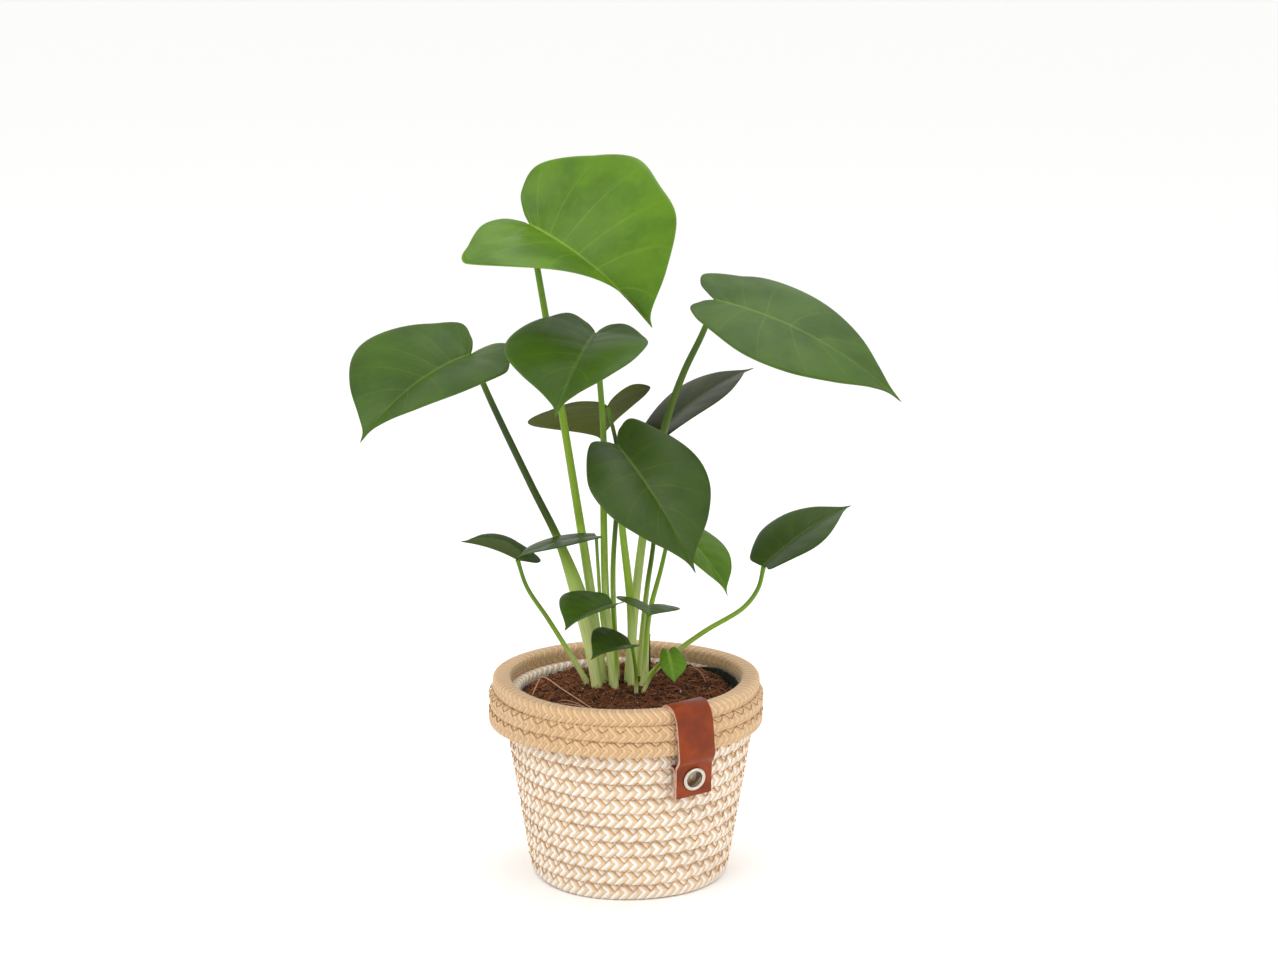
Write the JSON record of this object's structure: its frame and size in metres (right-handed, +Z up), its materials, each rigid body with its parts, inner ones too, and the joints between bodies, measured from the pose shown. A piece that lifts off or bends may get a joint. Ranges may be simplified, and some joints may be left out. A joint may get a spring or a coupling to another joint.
{
  "type": "potted plant",
  "caption": "Young broad-leaved aroid house plant with heart-shaped leaves on long stalks, in a coiled rope basket with a folded rim and a leather strap.",
  "frame": {"origin": "centre of the basket's flat underside, on the surface it stands on", "axes": "+Z up; -Y is the front, the side the strap hangs on; +X is to the right as seen from the front"},
  "size_m": [0.3002, 0.1536, 0.405],
  "materials": {
    "woven_rope": "white and tan braided cotton and jute rope, coiled and sewn",
    "tan_rope": "plain tan braided rope, sewn, matte",
    "liner_film": "thin grey-green plastic film, shiny",
    "pot_plastic": "thin black moulded plastic",
    "compost": "dark brown coir compost with reddish fibres",
    "bark": "dark old stem",
    "leather": "smooth saddle-brown leather, satin, with pale cut edges",
    "nickel": "nickel-plated eyelet",
    "leaf": "waxy green leaf, satin",
    "young_leaf": "fresh bright green leaf, satin",
    "dark_leaf": "deep green leaf, satin",
    "stalk": "pale green leaf stalk, satin"
  },
  "bodies": {
    "root": {"basket_base": "woven_rope", "basket_wall": "woven_rope", "rim_cuff": "tan_rope", "basket_liner": "liner_film", "nursery_pot": "pot_plastic", "soil": "compost", "bark_stub": "bark", "leather_strap": "leather", "eyelet": "nickel", "eyelet_washer": "nickel", "stalk_crown": "stalk", "blade_crown": "young_leaf", "stalk_upper_left": "stalk", "blade_upper_left": "leaf", "stalk_centre": "stalk", "blade_centre": "leaf", "stalk_upper_right": "stalk", "blade_upper_right": "leaf", "stalk_front_right": "stalk", "blade_front_right": "leaf", "stalk_back_left": "stalk", "blade_back_left": "dark_leaf", "stalk_back_right": "stalk", "blade_back_right": "dark_leaf", "stalk_low_right": "stalk", "blade_low_right": "young_leaf", "stalk_far_right": "stalk", "blade_far_right": "leaf", "stalk_far_left": "stalk", "blade_far_left": "dark_leaf", "stalk_mid_left": "stalk", "blade_mid_left": "dark_leaf", "stalk_front_left": "stalk", "blade_front_left": "leaf", "stalk_front_centre": "stalk", "blade_front_centre": "leaf", "stalk_front_low": "stalk", "blade_front_low": "dark_leaf", "stalk_rim_right": "stalk", "blade_rim_right": "young_leaf"}
  },
  "joints": []
}
